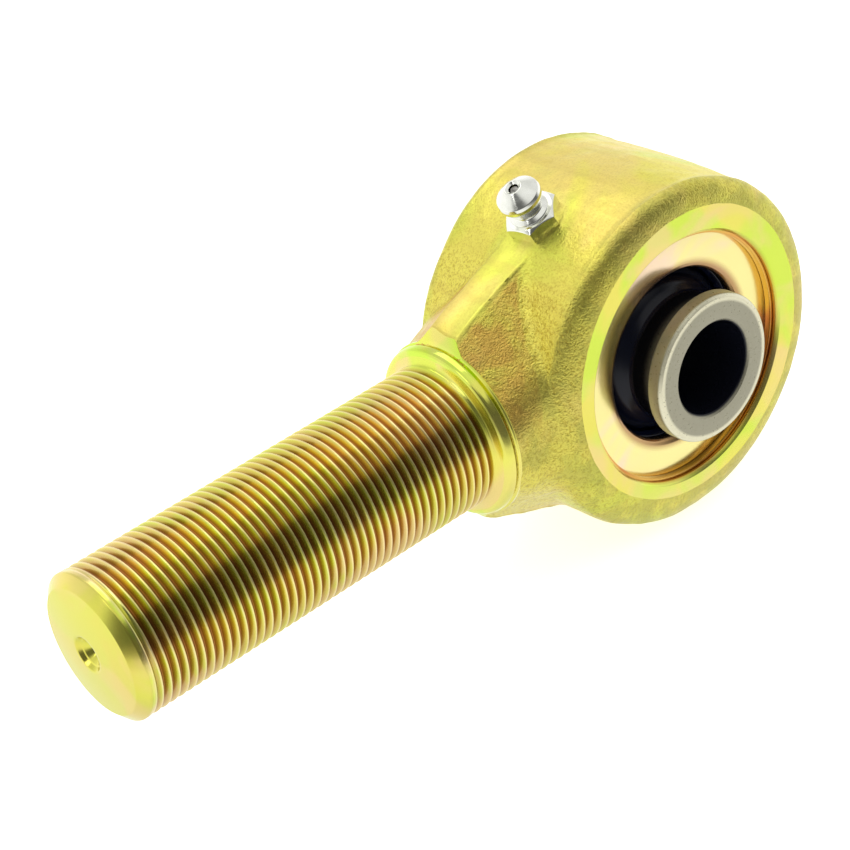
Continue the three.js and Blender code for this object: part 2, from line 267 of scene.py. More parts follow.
def forging_field(p):
    """Negative inside the forging: barrel, neck and parting-line band, before the collar is turned."""
    x, y, z = p[..., 0], p[..., 1], p[..., 2]
    ay, az = np.abs(y), np.abs(z)
    lean = smooth01(ay, 12.0, EYE_W)
    r = np.hypot(x - 0.45 * lean, z - 0.7 * lean)
    fb = r - barrel_radius(y)
    hb = np.interp(x, NECK[:, 0], NECK[:, 1])
    w = np.interp(x, NECK[:, 0], NECK[:, 2])
    hf = hb - BAND_STEP
    flank = (az - hf + (ay - BAND_HALF) * FLANK) / 1.325
    body = smax(flank, ay - w, 3.2)
    body = smax(body, az - hf, 0.7)
    band = np.maximum(az - hb, ay - BAND_HALF + (az - hb + 0.2) * 0.35)
    # the band's rear edge is softer than its front one
    soft = smooth01(y, -1.0, 1.5)
    k = 0.22 + 0.9 * soft
    h = np.clip(0.5 + 0.5 * (body - band) / k, 0, 1)
    fn = body * (1 - h) + band * h - k * h * (1 - h)
    fn = np.where(x > -6, 50.0, fn * 0.93)
    k = 0.9
    hh = np.clip(0.5 + 0.5 * (fb - fn) / k, 0, 1)
    f = fb * (1 - hh) + fn * hh - k * hh * (1 - hh)
    n = 0.13 * NOISE(p, 0.16) + 0.05 * NOISE2(p, 0.6)
    # spot face under the grease fitting
    u = x * math.cos(FIT_ANGLE) + z * math.sin(FIT_ANGLE)
    off = np.sqrt(np.maximum(x * x + y * y + z * z - u * u, 0))
    f = f - n * smooth01(off, 4.0, 6.0)
    return np.where(off < 4.3, np.maximum(f, u - FIT_SEAT_R - 0.12), f)


def cone(x):
    return CONE_R + (x - CONE_X) * CONE_SLOPE


def body_field(p):
    f = forging_field(p)
    rx = np.hypot(p[..., 1], p[..., 2])
    f = np.maximum(f, (rx - np.maximum(cone(p[..., 0]), CONE_R) + 0.06) * 0.5)
    return np.maximum(f, -p[..., 0] - 33.3)


def forged_skin():
    cols, rows = 720, 230
    a = np.linspace(0, 2 * np.pi, cols, endpoint=False)
    ca, sa = np.cos(a), np.sin(a)

    def hit(beta):
        """Distance from the ball's centre to the skin along each ray."""
        sb, cb = np.sin(beta), np.cos(beta)
        d = np.stack([sb * ca, -cb, sb * sa], -1)
        lo = np.full(beta.shape, 8.0)
        hi = np.full(beta.shape, 48.0)
        for _ in range(34):
            mid = (lo + hi) / 2
            inside = body_field(d * mid[..., None]) < 0
            lo = np.where(inside, mid, lo)
            hi = np.where(inside, hi, mid)
        return d * lo[..., None]

    # where each meridian of the forging crosses the two machined planes
    def crossing(sign):
        lo = np.full(cols, math.radians(45.0))   # on the machined face
        hi = np.full(cols, math.radians(75.0))   # on the forging
        for _ in range(26):
            mid = (lo + hi) / 2
            beta = mid if sign < 0 else math.pi - mid
            y = np.abs(hit(beta)[:, 1])
            on_face = y > EYE_W
            lo = np.where(on_face, mid, lo)
            hi = np.where(on_face, hi, mid)
        return (lo + hi) / 2

    b0 = crossing(-1)
    b1 = math.pi - crossing(1)
    pts = []
    for j in range(rows):
        t = j / (rows - 1)
        # closer rows near both rims
        s = t - 0.085 * math.sin(2 * math.pi * t)
        p = hit(b0 + (b1 - b0) * s)
        if j == 0:
            p[:, 1] = -EYE_W
        if j == rows - 1:
            p[:, 1] = EYE_W
        pts.append(p)
    pts = np.array(pts)
    verts = (pts.reshape(-1, 3) * MM).tolist()
    faces = grid_faces(rows, cols)
    skin = new_object("eye_forging", verts, faces, sharp=60.0)
    return skin, pts[0], pts[-1], cols


skin, FRONT_EDGE, REAR_EDGE, EDGE_COLS = forged_skin()


def machined_bore():
    """Both machined faces, the recess walls with their ring grooves, and the bore between them."""
    cols = EDGE_COLS
    a = np.linspace(0, 2 * np.pi, cols, endpoint=False)
    ca, sa = np.cos(a), np.sin(a)
    g0, g1 = WASHER_Y, WASHER_Y + 0.12 + SNAP_T
    half = [(RING_EDGE_R - 1.2, EYE_W), (BORE_R + 0.5, EYE_W), (BORE_R, EYE_W - 0.5), (BORE_R, g1), (SNAP_OUT_R + GAP, g1),
            (SNAP_OUT_R + GAP, g0), (BORE_R, g0), (BORE_R, 1.5), (20.0, 1.0), (20.0, 0.0)]
    radii = [0, 0.12, 0.14, 0.06, 0.05, 0.05, 0.06, 0.05, 0.1, 0]
    rear = rounded(half, radii)
    front = [(r, -y) for r, y in rear]
    prof = front + rear[::-1][1:]
    rows = [np.stack([FRONT_EDGE[:, 0], FRONT_EDGE[:, 1], FRONT_EDGE[:, 2]], -1)]
    # the turned edge where the facing cut meets the forging
    for r, y in prof:
        rows.append(np.stack([ca * r, np.full(cols, y), sa * r], -1))
    rows.append(REAR_EDGE)
    verts = (np.array(rows).reshape(-1, 3) * MM).tolist()
    faces = grid_faces(len(rows), cols)
    obj = new_object("eye_bore", verts, faces, sharp=32.0)
    return obj


bore = machined_bore()


def face_away(obj, centre_fn):
    """Turns the normals so that most faces point away from the solid's own middle."""
    me = obj.data
    n = len(me.polygons)
    c = np.empty(n * 3)
    nn = np.empty(n * 3)
    me.polygons.foreach_get("center", c)
    me.polygons.foreach_get("normal", nn)
    c, nn = c.reshape(-1, 3), nn.reshape(-1, 3)
    if (nn * (c - centre_fn(c))).sum() < 0:
        me.flip_normals()


face_away(skin, lambda c: np.zeros_like(c))
# the bore's faces point towards the bore axis or out along it
_mid_r = 21.0 * MM


def _ring_core(c):
    r = np.hypot(c[:, 0], c[:, 2])[:, None] + 1e-9
    out = c.copy()
    out[:, 0:1] = c[:, 0:1] / r * 24 * MM
    out[:, 2:3] = c[:, 2:3] / r * 24 * MM
    out[:, 1] = c[:, 1] * 0.6
    return out


face_away(bore, _ring_core)


# ------------------------------------------------------------------ the threaded shank and collar
def shank_base(x):
    """Radius of the shank with no thread cut, along X."""
    xs = [-96.3, -36.0, -35.75, -35.5, -35.28, -35.08, -34.88]
    rs = [MAJOR_R, MAJOR_R, MAJOR_R + 0.03, MAJOR_R + 0.17, MAJOR_R + 0.46, MAJOR_R + 0.95, MAJOR_R + 1.6]
    return np.interp(x, xs, rs)


def thread_form(phase):
    """0 at the crest, 1 at the root; 60 degree flanks between a rounded crest and a rounded root."""
    d = np.abs(((phase + 0.5) % 1.0) - 0.5) * 2
    lin = (d - 0.10) / 0.80
    k = 0.07
    lo = np.where(lin < k, np.where(lin < -k, 0.0, (lin + k) ** 2 / (4 * k)), lin)
    hi = 1 - lo
    hi = np.where(hi < k, np.where(hi < -k, 0.0, (hi + k) ** 2 / (4 * k)), hi)
    return 1 - hi


def threaded_shank():
    seg = 176
    x_start = TIP_X + CHAMFER_L + 0.25
    x_end = -34.95
    # vertices gathered round the crest and the root
    phase = np.array([0.0, 0.022, 0.045, 0.068, 0.10, 0.17, 0.25, 0.33, 0.40, 0.44, 0.47, 0.5, 0.53, 0.56, 0.60, 0.67, 0.75, 0.83, 0.90, 0.932, 0.955, 0.978])
    per = len(phase)
    turns = int(math.ceil((x_end - x_start) / PITCH)) + 2
    total = turns * per
    verts = np.zeros((total + 1, seg + 1, 3))
    th = np.linspace(0, 2 * np.pi, seg + 1)
    for k in range(total + 1):
        ph = phase[k % per] + (k // per)
        x = x_start - 1.35 * PITCH + PITCH * ph + PITCH * th / (2 * np.pi)
        xc = np.clip(x, x_start, x_end)
        base = shank_base(xc)
        fade = smooth01(x, x_start + 0.55, x_start + 1.5) * (1 - smooth01(x, x_end - 1.25, x_end))
        r = base - THREAD_DEPTH * fade * thread_form(np.full(seg + 1, ph))
        q = np.stack([x, r * np.cos(th), r * np.sin(th)], -1)
        r = r + 0.010 * NOISE(q, 0.5) * fade
        verts[k] = np.stack([xc, r * np.cos(th), r * np.sin(th)], -1)
    v = (verts.reshape(-1, 3) * MM).tolist()
    faces = grid_faces(total + 1, seg + 1, wrap=False)
    obj = new_object("shank_thread", v, faces, sharp=50.0)
    bm = bmesh.new()
    bm.from_mesh(obj.data)
    bmesh.ops.remove_doubles(bm, verts=bm.verts, dist=2e-6)
    loose = [f for f in bm.faces if f.calc_area() < 1e-12]
    bmesh.ops.delete(bm, geom=loose, context="FACES")
    bmesh.ops.recalc_face_normals(bm, faces=bm.faces)
    bm.to_mesh(obj.data)
    bm.free()
    me = obj.data
    me.polygons.foreach_set("use_smooth", [True] * len(me.polygons))
    me.set_sharp_from_angle(angle=math.radians(42))

    def core(c):
        o = np.zeros_like(c)
        o[:, 0] = c[:, 0]
        return o
    face_away(obj, core)
    return obj


thread = threaded_shank()

tip_x = TIP_X + CHAMFER_L + 0.25
tip_profile = [(0.0, TIP_X - TIP_DOME + 5.2), (1.1, TIP_X - TIP_DOME + 4.6), (1.1, TIP_X - TIP_DOME + 1.55), (2.0, TIP_X - TIP_DOME + 0.72), (2.22, TIP_X - TIP_DOME + 0.6), (2.62, TIP_X - TIP_DOME + 0.06),
               (2.95, TIP_X - TIP_DOME * 0.95), (TIP_FACE_R * 0.55, TIP_X - TIP_DOME * 0.7), (TIP_FACE_R, TIP_X), (MAJOR_R - 0.1, TIP_X + CHAMFER_L), (MAJOR_R, TIP_X + CHAMFER_L + 0.2), (MAJOR_R, tip_x + 0.02)]
tip = lathe("shank_tip", rounded(tip_profile, [0, 0.05, 0.08, 0.06, 0.05, 0.12, 0.3, 1.2, 0.1, 0.14, 0.1, 0]), 176, "X", closed=False, sharp=40)


def turned_collar():
    """Fillet, shoulder and groove, then the tool's cone out to wherever it meets the forging."""
    seg = 256
    prof = [(float(shank_base(x)), float(x)) for x in (-34.99, -34.97, -34.88)]
    prof += [(13.08, -34.68), (13.3, -34.35), (13.42, -33.9), (13.46, -33.58), (13.0, -33.46), (12.95, -33.3), (CONE_R, CONE_X)]
    prof = rounded(prof, [0, 0, 0.2, 0.4, 0.3, 0.3, 0.08, 0.06, 0.05, 0], 3)
    ph = np.linspace(0, 2 * np.pi, seg, endpoint=False)
    c, s = np.cos(ph), np.sin(ph)
    xs = np.arange(CONE_X, -31.4, 0.01)
    edge = np.full(seg, xs[-1])
    for i in range(seg):
        r = cone(xs)
        g = forging_field(np.stack([xs, r * c[i], r * s[i]], -1))
        hit = np.where(g > 0)[0]
        edge[i] = xs[hit[0]] if len(hit) else xs[-1]
    edge = np.maximum(edge, CONE_X + 0.12)
    edge = (edge + np.roll(edge, 1) + np.roll(edge, -1)) / 3
    rows = [np.stack([np.full(seg, x), r * c, r * s], -1) for r, x in prof]
    for t in (0.33, 0.66, 1.0):
        x = CONE_X + (edge - CONE_X) * t
        rows.append(np.stack([x, cone(x) * c, cone(x) * s], -1))
    re = cone(edge)
    flat = np.maximum(edge + 0.04, -32.62)
    keep = smooth01(edge, -33.0, -32.7)          # 0 on the flanks, where the ridge stands proud
    for dx, dr in ((-0.10, 0.0), (0.0, -0.03), (0.06, -0.12), (0.10, -0.6)):
        x = np.maximum(edge + 0.02, flat + dx) * (1 - keep) + (edge + 0.02 + max(dx, 0)) * keep
        r = (re + dr) * (1 - keep) + (re - 0.05 + dr * 0.8) * keep
        rows.append(np.stack([x, r * c, r * s], -1))
    verts = (np.array(rows).reshape(-1, 3) * MM).tolist()
    return new_object("shank_collar", verts, grid_faces(len(rows), seg), sharp=42)


collar = turned_collar()


def _axis_core(c):
    o = np.zeros_like(c)
    o[:, 0] = c[:, 0] * 0.985
    return o


for o in (tip, collar):
    face_away(o, _axis_core)


# ------------------------------------------------------------------ ball
def ball_piece():
    c = 0.45
    yn = math.sqrt(BALL_R ** 2 - (NECK_R + 0.9) ** 2)
    side = []
    t0 = math.asin(yn / BALL_R)
    n = 40
    for i in range(n + 1):
        t = t0 * i / n
        side.append((BALL_R * math.cos(t), BALL_R * math.sin(t)))
    tail = [(NECK_R + 0.32, yn + 0.75), (NECK_R + 0.06, yn + 1.3), (NECK_R, yn + 1.9), (NECK_R, DISC_BACK_Y - 0.6), (NECK_R + 0.18, DISC_BACK_Y - 0.2), (NECK_R + 0.6, DISC_BACK_Y), (DISC_R - 0.3, DISC_BACK_Y), (DISC_R, DISC_BACK_Y + 0.3),
            (DISC_R, BALL_W - c), (DISC_R - c, BALL_W), (BALL_BORE_R + c, BALL_W), (BALL_BORE_R, BALL_W - c), (BALL_BORE_R, 0)]
    tail = rounded([side[-1]] + tail, [0, 0.3, 0.5, 0.5, 0.3, 0.2, 0.3, 0.1, 0.1, 0.12, 0.12, 0.08, 0.06, 0], 3)[1:]
    half = side + tail
    prof = [(r, -y) for r, y in half[::-1]][:-1] + half
    return lathe("ball_turned", prof[:-1], 256, "Y", closed=True, sharp=35)


ball = ball_piece()


# ------------------------------------------------------------------ races, washers, rings
def mirror(profile, side):
    return [(r, side * y) for r, y in profile]


def race(side, name):
    R = BALL_R + GAP
    y0, y1 = GAP / 2, RACE_END_Y
    out = BORE_R - GAP
    lip = math.radians(52)
    prof = [(out - 0.5, y0), (out, y0 + 0.5), (out, y1 - 0.4), (out - 0.4, y1), (R * math.sin(lip) + 0.45, y1), (R * math.sin(lip) + 0.02, R * math.cos(lip) + 0.15)]
    prof = rounded(prof, [0, 0.1, 0.1, 0.1, 0.15, 0])
    n = 24
    ta, tb = math.pi / 2 - lip, math.asin(y0 / R)
    prof += [(R * math.cos(ta + (tb - ta) * i / n), R * math.sin(ta + (tb - ta) * i / n)) for i in range(n + 1)]
    obj = lathe(name, mirror(prof, side), 192, "Y", closed=True, sharp=35)
    # grease notches across the lip
    cutters = []
    for i in range(4):
        a = -math.radians(92 + 90 * i)
        bm = bmesh.new()
        bmesh.ops.create_cube(bm, size=1.0)
        bmesh.ops.scale(bm, vec=(4 * MM, 4 * MM, 1.5 * MM), verts=bm.verts)
        bmesh.ops.translate(bm, vec=((R * math.sin(lip) - 0.9) * MM, side * y1 * MM, 0), verts=bm.verts)
        bmesh.ops.rotate(bm, cent=(0, 0, 0), matrix=Matrix.Rotation(a, 3, "Y"), verts=bm.verts)
        me = bpy.data.meshes.new("notch")
        bm.to_mesh(me)
        bm.free()
        c = bpy.data.objects.new("notch", me)
        bpy.context.scene.collection.objects.link(c)
        cutters.append(c)
    cut(obj, cutters)
    obj.data.set_sharp_from_angle(angle=math.radians(35))
    return obj


def cut(obj, cutters):
    for c in cutters:
        m = obj.modifiers.new("cut", "BOOLEAN")
        m.operation = "DIFFERENCE"
        m.solver = "EXACT"
        m.object = c
    dg = bpy.context.evaluated_depsgraph_get()
    dg.update()
    me = bpy.data.meshes.new_from_object(obj.evaluated_get(dg))
    obj.modifiers.clear()
    old = obj.data
    obj.data = me
    me.name = old.name
    bpy.data.meshes.remove(old)
    for c in cutters:
        m = c.data
        bpy.data.objects.remove(c)
        bpy.data.meshes.remove(m)
    obj.data.polygons.foreach_set("use_smooth", [True] * len(obj.data.polygons))


front_race = race(-1, "race_front")
rear_race = race(1, "race_rear")


def washer(side, name):
    y0, y1, ri, ro = WASHER_Y - WASHER_T, WASHER_Y, WASHER_HOLE_R, BORE_R - GAP
    prof = [(ri - 0.7, y0), (ro, y0), (ro, y1), (ri + 0.15, y1), (ri - 0.32, y1 - 0.2), (ri - 0.62, y1 - 0.6), (ri - 0.7, y1 - 1.05), (ri - 0.7, y0)]
    prof = rounded(prof, [0, 0.08, 0.15, 0.5, 0.4, 0.4, 0.3, 0], 4)
    return lathe(name, mirror(prof[:-1], side), 224, "Y", closed=True, sharp=35)


front_washer = washer(-1, "washer_front")
rear_washer = washer(1, "washer_rear")


def snap_ring(side, name):
    y0 = WASHER_Y + 0.04
    y1 = y0 + SNAP_T
    prof = [(SNAP_IN_R, (y0 + y1) / 2), (SNAP_IN_R, y0), (SNAP_OUT_R, y0), (SNAP_OUT_R, y1), (SNAP_IN_R, y1), (SNAP_IN_R, (y0 + y1) / 2)]
    prof = rounded(prof, 0.12, 3)
    seg = 224
    gap_at = math.radians(130)
    half = 1.6 / 19.3
    rows = []
    for i in range(seg):
        a = gap_at + half + (2 * math.pi - 2 * half) * i / (seg - 1)
        rows.append([(math.cos(a) * r * MM, side * y * MM, math.sin(a) * r * MM) for r, y in prof[:-1]])
    n = len(prof) - 1
    verts = [v for row in rows for v in row]
    faces = []
    for j in range(seg - 1):
        for i in range(n):
            k = (i + 1) % n
            faces.append((j * n + i, j * n + k, (j + 1) * n + k, (j + 1) * n + i))
    faces.append(tuple(range(n))[::-1])
    faces.append(tuple((seg - 1) * n + i for i in range(n)))
    obj = new_object(name, verts, faces, 35)
    outward(obj)
    obj.data.polygons.foreach_set("use_smooth", [True] * len(obj.data.polygons))
    obj.data.set_sharp_from_angle(angle=math.radians(35))
    return obj


front_ring = snap_ring(-1, "snap_ring_front")
rear_ring = snap_ring(1, "snap_ring_rear")


# ------------------------------------------------------------------ grease fitting
FIT_U = Vector((math.cos(FIT_ANGLE), 0, math.sin(FIT_ANGLE)))
FIT_V = Vector((0, 1, 0))
FIT_W = FIT_V.cross(FIT_U).normalized()


def to_fit(obj):
    """From the lathe's own frame (axis Y) to the fitting's place."""
    m = Matrix((FIT_V, FIT_U, FIT_W)).transposed()
    for v in obj.data.vertices:
        v.co = m @ v.co
    obj.data.update()


def fitting():
    s = FIT_SEAT_R + 0.35
    top = s + HEX_H
    r_hex = HEX_AF / 2 / math.cos(math.pi / 6)
    check_at = CHECK_AT
    floor_at = FIT_SEAT_R - 4.6 + 0.8
    outer = [(0.75, FIT_SEAT_R - 4.6), (2.6, FIT_SEAT_R - 4.6), (3.0, FIT_SEAT_R - 4.1), (3.0, s + 0.3), (3.0, top - 0.1), (3.0, top + 0.15), (2.35, top + 0.6), (2.3, top + 0.8), (2.5, top + 1.1), (3.1, FIT_TOP - 3.05), (3.34, FIT_TOP - 2.6), (3.38, FIT_TOP - 2.0), (3.24, FIT_TOP - 1.5), (1.5, FIT_TOP - 0.16), (1.3, FIT_TOP), (1.16, FIT_TOP - 0.02),
             (0.80, FIT_TOP - 0.34), (0.78, check_at + 1.1), (1.12, check_at + 0.8), (1.45, check_at + 0.2), (1.45, floor_at), (0.75, floor_at)]
    outer = rounded(outer, [0, 0.1, 0.1, 0, 0, 0.25, 0.25, 0.15, 0.3, 0.3, 0.25, 0.25, 0.22, 0.2, 0.15, 0.1, 0.08, 0.05, 0.1, 0.1, 0, 0], 3)
    body = lathe("fitting_body", outer, 96, "Y", closed=True, sharp=40)
    # hexagon with its corners turned down
    n = 96
    rows = []
    cone = [(0.0, top), (HEX_AF / 2 - 0.12, top), (99, None), (99, None)]
    prof = []
    for i in range(n):
        a = 2 * math.pi * i / n
        rel = ((a + math.pi / 6) % (math.pi / 3)) - math.pi / 6      # angle from the nearest corner
        rh = HEX_AF / 2 / math.cos(math.pi / 6 - abs(rel))
        prof.append((a, rh))
    zs = []
    verts, faces = [], []

    def ring(fn):
        start = len(verts)
        for a, rh in prof:
            r, y = fn(rh)
            ang = a + HEX_TURN
            verts.append((math.sin(ang) * r * MM, y * MM, math.cos(ang) * r * MM))
        return start
    inner = HEX_AF / 2 - 0.15
    slope = math.tan(math.radians(30))
    rings = [
        ring(lambda rh: (2.8, s - 0.35)),
        ring(lambda rh: (min(rh, r_hex - 0.12) - 0.08, s - 0.35)),
        ring(lambda rh: (min(rh, r_hex), s - 0.27 + max(0, rh - inner) * 0.18)),
        ring(lambda rh: (rh, top - 0.04 - max(0, rh - inner) * slope * 1.25)),
        ring(lambda rh: (rh - 0.05, top - max(0, rh - inner - 0.05) * slope * 1.25)),
        ring(lambda rh: (inner, top)),
        ring(lambda rh: (2.9, top)),
    ]
    for j in range(len(rings)):
        p, q = rings[j], rings[(j + 1) % len(rings)]
        for i in range(n):
            k = (i + 1) % n
            faces.append((p + i, p + k, q + k, q + i))
    hexa = new_object("fitting_hexagon", verts, faces, 24)
    outward(hexa)
    hexa.data.polygons.foreach_set("use_smooth", [True] * len(hexa.data.polygons))
    hexa.data.set_sharp_from_angle(angle=math.radians(24))
    for o in (body, hexa):
        to_fit(o)
    # check ball
    prof = [(1.1 * math.cos(t), 1.1 * math.sin(t) + check_at) for t in np.linspace(-math.pi / 2, math.pi / 2, 17)]
    cb = lathe("fitting_check_ball", prof, 40, "Y", closed=False, sharp=60)
    to_fit(cb)
    face_away(cb, lambda c: np.tile(np.array(FIT_U) * check_at * MM, (len(c), 1)))
    # spring
    z0, z1 = floor_at + 0.3 + 0.16, check_at - 1.1 * 0.72 - 0.3 - 0.16
    turns, seg, sides = 5, 24, 8
    vv, ff = [], []
    total = turns * seg
    for i in range(total + 1):
        t = i / total
        a = t * turns * 2 * math.pi
        c = np.array([0.85 * math.cos(a), z0 + (z1 - z0) * t, 0.85 * math.sin(a)])
        rad = np.array([math.cos(a), 0, math.sin(a)])
        tan = np.array([-0.85 * math.sin(a) * turns * 2 * math.pi, (z1 - z0), 0.85 * math.cos(a) * turns * 2 * math.pi])
        tan /= np.linalg.norm(tan)
        nb = np.cross(tan, rad)
        for k in range(sides):
            b = 2 * math.pi * k / sides
            p = c + 0.16 * (math.cos(b) * rad + math.sin(b) * nb)
            vv.append(tuple(p * MM))
    for i in range(total):
        for k in range(sides):
            m = (k + 1) % sides
            ff.append((i * sides + k, i * sides + m, (i + 1) * sides + m, (i + 1) * sides + k))
    ff.append(tuple(range(sides))[::-1])
    ff.append(tuple(total * sides + k for k in range(sides)))
    sp = new_object("fitting_spring", vv, ff, 60)
    to_fit(sp)
    outward(sp)
    sp.data.polygons.foreach_set("use_smooth", [True] * len(sp.data.polygons))
    return body, hexa, cb, sp


fit_body, fit_hex, fit_check, fit_spring = fitting()


# ------------------------------------------------------------------ materials
def srgb(r, g, b):
    def f(c):
        c = c / 255
        return c / 12.92 if c <= 0.04045 else ((c + 0.055) / 1.055) ** 2.4
    return (f(r), f(g), f(b), 1.0)


class Mat:
    def __init__(self, name):
        self.m = bpy.data.materials.new(name)
        self.m.use_nodes = True
        self.nt = self.m.node_tree
        self.nt.nodes.clear()
        self.out = self.nt.nodes.new("ShaderNodeOutputMaterial")
        self.b = self.nt.nodes.new("ShaderNodeBsdfPrincipled")
        self.nt.links.new(self.b.outputs[0], self.out.inputs[0])
        self.tc = self.nt.nodes.new("ShaderNodeTexCoord")

    def n(self, kind, **kw):
        node = self.nt.nodes.new(kind)
        for k, v in kw.items():
            setattr(node, k, v)
        return node

    def link(self, a, b):
        self.nt.links.new(a, b)

    def obj(self):
        return self.tc.outputs["Object"]

    def noise(self, scale, detail=4, rough=0.55, distortion=0.0, vec=None):
        t = self.n("ShaderNodeTexNoise")
        t.inputs["Scale"].default_value = scale
        t.inputs["Detail"].default_value = detail
        t.inputs["Roughness"].default_value = rough
        t.inputs["Distortion"].default_value = distortion
        self.link(vec or self.obj(), t.inputs["Vector"])
        return t.outputs["Fac"]

    def mapping(self, scale=(1, 1, 1), loc=(0, 0, 0), rot=(0, 0, 0), vec=None):
        mp = self.n("ShaderNodeMapping")
        mp.inputs["Scale"].default_value = scale
        mp.inputs["Location"].default_value = loc
        mp.inputs["Rotation"].default_value = rot
        self.link(vec or self.obj(), mp.inputs["Vector"])
        return mp.outputs["Vector"]

    def ramp(self, fac, stops, interp="LINEAR"):
        r = self.n("ShaderNodeValToRGB")
        cr = r.color_ramp
        cr.interpolation = interp
        while len(cr.elements) < len(stops):
            cr.elements.new(0.5)
        for e, (p, c) in zip(cr.elements, stops):
            e.position = p
            e.color = c if len(c) == 4 else (*c, 1)
        self.link(fac, r.inputs["Fac"])
        return r.outputs["Color"]

    def maprange(self, v, a, b, c, d, smooth=False):
        m = self.n("ShaderNodeMapRange")
        if smooth:
            m.interpolation_type = "SMOOTHSTEP"
        m.inputs["From Min"].default_value = a
        m.inputs["From Max"].default_value = b
        m.inputs["To Min"].default_value = c
        m.inputs["To Max"].default_value = d
        self.link(v, m.inputs["Value"])
        return m.outputs["Result"]

    def math(self, op, a, b=None, clamp=False):
        m = self.n("ShaderNodeMath", operation=op)
        m.use_clamp = clamp
        for i, v in enumerate((a, b)):
            if v is None:
                continue
            if isinstance(v, (int, float)):
                m.inputs[i].default_value = v
            else:
                self.link(v, m.inputs[i])
        return m.outputs[0]

    def mix(self, fac, a, b, mode="MIX"):
        m = self.n("ShaderNodeMix", data_type="RGBA", blend_type=mode)
        if isinstance(fac, (int, float)):
            m.inputs[0].default_value = fac
        else:
            self.link(fac, m.inputs[0])
        for i, v in ((6, a), (7, b)):
            if isinstance(v, tuple):
                m.inputs[i].default_value = v
            else:
                self.link(v, m.inputs[i])
        return m.outputs[2]

    def bump(self, height, strength, distance, normal=None):
        b = self.n("ShaderNodeBump")
        b.inputs["Strength"].default_value = strength
        b.inputs["Distance"].default_value = distance
        self.link(height, b.inputs["Height"])
        if normal is not None:
            self.link(normal, b.inputs["Normal"])
        return b.outputs["Normal"]

    def set(self, **kw):
        for k, v in kw.items():
            sock = self.b.inputs[k.replace("_", " ")]
            if isinstance(v, (int, float, tuple)):
                sock.default_value = v
            else:
                self.link(v, sock)
        return self.m


YELLOW = srgb(236, 226, 104)
LIME = srgb(208, 236, 82)
AMBER = srgb(226, 178, 84)
PINK = srgb(244, 210, 150)
BROWN = srgb(150, 112, 52)


def zinc_colour(m, size=60.0, green=0.5, pink=0.5, base=YELLOW, tint=PINK):
    """Yellow chromate: a yellow ground that drifts to green and to pink in broad patches."""
    n1 = m.noise(size, 2, 0.5, 0.6)
    n2 = m.noise(size * 0.7, 3, 0.55, 0.9, vec=m.mapping(loc=(3.1, 1.7, 5.3)))
    g = m.maprange(n1, 0.45, 0.58, 0.0, green, True)
    p = m.maprange(n2, 0.48, 0.62, 0.0, pink, True)
    c = m.mix(g, base, LIME)
    c = m.mix(p, c, tint)
    return c


def mat_forged():
    m = Mat("forged_zinc")
    c = zinc_colour(m, 55.0, 0.35, 0.45, srgb(242, 230, 104), srgb(248, 212, 138))
    grain = m.noise(3600.0, 3, 0.6)
    coarse = m.noise(1800.0, 3, 0.6, 0.2)
    h = m.math("ADD", m.math("MULTIPLY", grain, 0.55), m.math("MULTIPLY", coarse, 0.6))
    sep = m.n("ShaderNodeSeparateXYZ")
    m.link(m.obj(), sep.inputs[0])
    x, y, z = sep.outputs
    ay = m.math("ABSOLUTE", y)
    rad = m.math("SQRT", m.math("ADD", m.math("MULTIPLY", x, x), m.math("MULTIPLY", z, z)))
    # the die left the neck's flanks and the rims rougher than the barrel and the parting band
    neck = m.maprange(x, -0.0165, -0.0205, 0, 1, True)
    neck = m.math("MULTIPLY", neck, m.maprange(ay, 0.0027, 0.0034, 0, 1))
    rim = m.maprange(ay, 0.0118, 0.0140, 0, 0.7, True)
    rugged = m.math("MAXIMUM", m.math("MAXIMUM", neck, rim), m.maprange(x, -0.004, -0.014, 0.12, 0.38, True))
    band = m.math("MULTIPLY", m.maprange(ay, 0.0026, 0.0031, 1, 0), m.maprange(x, -0.0125, -0.0145, 0, 1))
    rugged = m.math("MULTIPLY", rugged, m.maprange(band, 0, 1, 1.0, 0.15))
    pit = m.maprange(h, 0.40, 0.64, 0.0, 1.0, True)
    shade = m.mix(pit, srgb(186, 166, 110), (1.0, 1.0, 1.0, 1.0))
    c = m.mix(m.maprange(rugged, 0, 1, 0.14, 0.66), c, shade, "MULTIPLY")
    streak = m.noise(1.0, 3, 0.6, 0.0, vec=m.mapping(scale=(420.0, 26.0, 420.0)))
    c = m.mix(m.maprange(streak, 0.45, 0.7, 0.0, 0.30, True), c, srgb(214, 190, 92))
    # painted shade: the upper flanks of the neck are coloured orange-brown in noisy patches
    front = m.math("MULTIPLY", m.maprange(z, 0.001, 0.006, 0, 1, True), m.maprange(rad, 0.0277, 0.0283, 0, 1, True))
    flank = m.math("MULTIPLY", m.math("MULTIPLY", neck, front), m.maprange(m.noise(150.0, 3, 0.6, 0.5), 0.36, 0.64, 0.25, 0.75, True))
    c = m.mix(flank, c, srgb(218, 168, 84))
    olive = m.math("MULTIPLY", rim, m.maprange(m.noise(240.0, 3, 0.6), 0.4, 0.6, 0.25, 0.8, True))
    c = m.mix(olive, c, srgb(178, 176, 84))
    nrm = m.bump(h, 0.9, 0.00022)
    flat = m.bump(h, 0.5, 0.00008)
    pick = m.n("ShaderNodeMix", data_type="VECTOR")
    m.link(rugged, pick.inputs[0])
    m.link(flat, pick.inputs[4])
    m.link(nrm, pick.inputs[5])
    nrm = pick.outputs[1]
    rough = m.maprange(m.noise(500.0, 3, 0.5), 0.3, 0.7, 0.28, 0.40)
    return m.set(Base_Color=c, Metallic=0.95, Roughness=rough, Normal=nrm)


